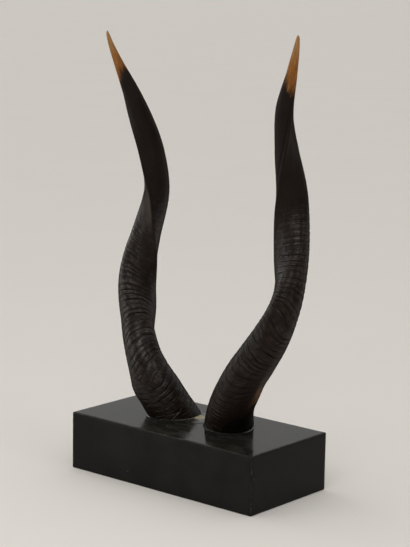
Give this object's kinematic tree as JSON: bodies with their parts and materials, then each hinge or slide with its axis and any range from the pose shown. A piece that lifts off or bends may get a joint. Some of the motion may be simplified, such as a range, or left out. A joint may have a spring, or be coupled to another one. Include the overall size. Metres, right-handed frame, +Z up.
{
  "type": "pair of mounted antelope horns",
  "caption": "Lyre-shaped pair of keeled, spirally twisted antelope horns with amber tips, standing on a black rectangular wooden block.",
  "frame": {"origin": "centre of the block's flat underside", "axes": "+X along the block's long side towards the right horn, -Y towards the front of the block, +Z up"},
  "size_m": [0.3082, 0.15, 0.5724],
  "materials": {
    "black_block": "black lacquer over wood, glossy on top, satin on the sides, dusty and worn at the edges",
    "horn_sheath": "dark brown horn with growth ridges, satin to polished, amber and smooth at the tip",
    "hardened_glue": "hardened clear glue with cream residue"
  },
  "bodies": {
    "root": {"plinth": "black_block", "horn_left": "horn_sheath", "horn_right": "horn_sheath", "glue_bed": "hardened_glue"}
  },
  "joints": []
}
